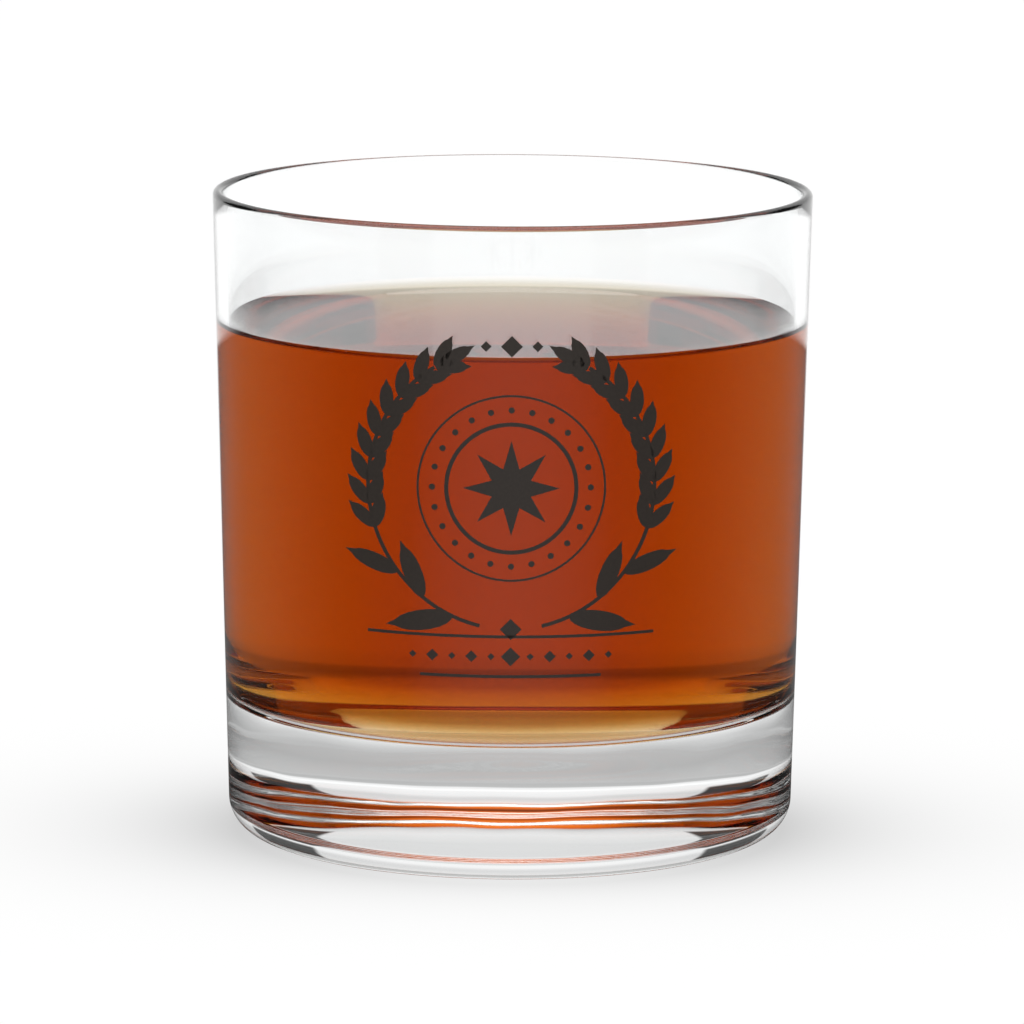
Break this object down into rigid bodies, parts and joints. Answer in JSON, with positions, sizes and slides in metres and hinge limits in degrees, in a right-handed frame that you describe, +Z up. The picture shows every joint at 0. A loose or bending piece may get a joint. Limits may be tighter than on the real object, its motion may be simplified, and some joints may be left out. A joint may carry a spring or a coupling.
{
  "type": "rocks glass of bourbon",
  "caption": "Straight-sided rocks glass with a thick clear base, about three quarters full of neat bourbon, printed ornament on the front",
  "frame": {"origin": "centre of the circle on which the foot stands, at table height", "axes": "+Z up along the glass's axis; -Y is the side facing the camera, which carries the print; +X to the viewer's right"},
  "size_m": [0.0822, 0.0822, 0.0889],
  "materials": {
    "glass": "clear polished",
    "bourbon": "clear amber-red liquid",
    "ink": "fired enamel print, dark brown"
  },
  "bodies": {
    "root": {"glass": "glass", "bourbon": "bourbon"}
  },
  "joints": []
}
